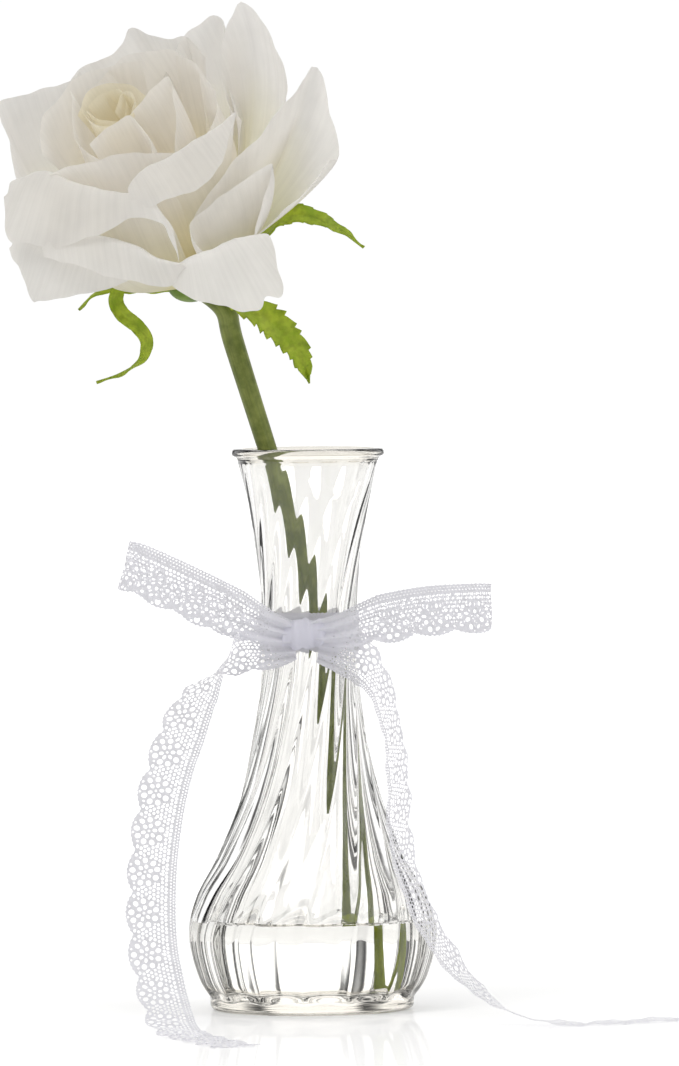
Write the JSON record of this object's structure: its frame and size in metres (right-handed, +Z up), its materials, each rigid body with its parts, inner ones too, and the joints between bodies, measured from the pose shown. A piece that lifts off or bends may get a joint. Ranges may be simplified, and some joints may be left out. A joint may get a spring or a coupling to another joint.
{
  "type": "glass bud vase",
  "caption": "Clear glass bud vase with swirled flutes and a thick foot, part filled with water, tied with a lace bow and holding one white rose.",
  "frame": {"origin": "centre of the foot's flat underside", "axes": "+Z up along the vase's axis, -Y to the front of the bow, +X to the right of a viewer who faces the bow"},
  "size_m": [0.1941, 0.1671, 0.2681],
  "materials": {
    "clear_glass": "polished clear pressed glass",
    "water": "still clear water",
    "lace": "white cotton lace with a woven tape edge",
    "stem_green": "waxy green plant stem",
    "sepal_green": "soft green leaf",
    "petal_white": "soft satin ivory petal",
    "stamen_yellow": "dusty yellow"
  },
  "bodies": {
    "vase": {"glass_vase": "clear_glass", "water": "water", "ribbon_wrap": "lace", "ribbon_knot": "lace", "ribbon_left_loop": "lace", "ribbon_right_loop": "lace", "ribbon_left_tail": "lace", "ribbon_right_tail": "lace"},
    "rose": {"rose_stem": "stem_green", "rose_hip": "sepal_green", "rose_stamens": "stamen_yellow", "sepal_1": "sepal_green", "sepal_2": "sepal_green", "sepal_3": "sepal_green", "sepal_4": "sepal_green", "sepal_5": "sepal_green", "petal_01": "petal_white", "petal_02": "petal_white", "petal_03": "petal_white", "petal_04": "petal_white", "petal_05": "petal_white", "petal_06": "petal_white", "petal_07": "petal_white", "petal_08": "petal_white", "petal_09": "petal_white", "petal_10": "petal_white", "petal_11": "petal_white", "petal_12": "petal_white", "petal_13": "petal_white", "petal_14": "petal_white", "petal_15": "petal_white", "petal_16": "petal_white", "petal_17": "petal_white", "petal_18": "petal_white", "petal_19": "petal_white", "petal_20": "petal_white", "petal_21": "petal_white", "petal_22": "petal_white", "petal_23": "petal_white", "petal_24": "petal_white"}
  },
  "joints": [
    {"name": "rose_lift", "type": "slide", "parent": "vase", "child": "rose", "axis": [-0.1736, 0, 0.9848], "range_m": [0, 0.16]}
  ]
}
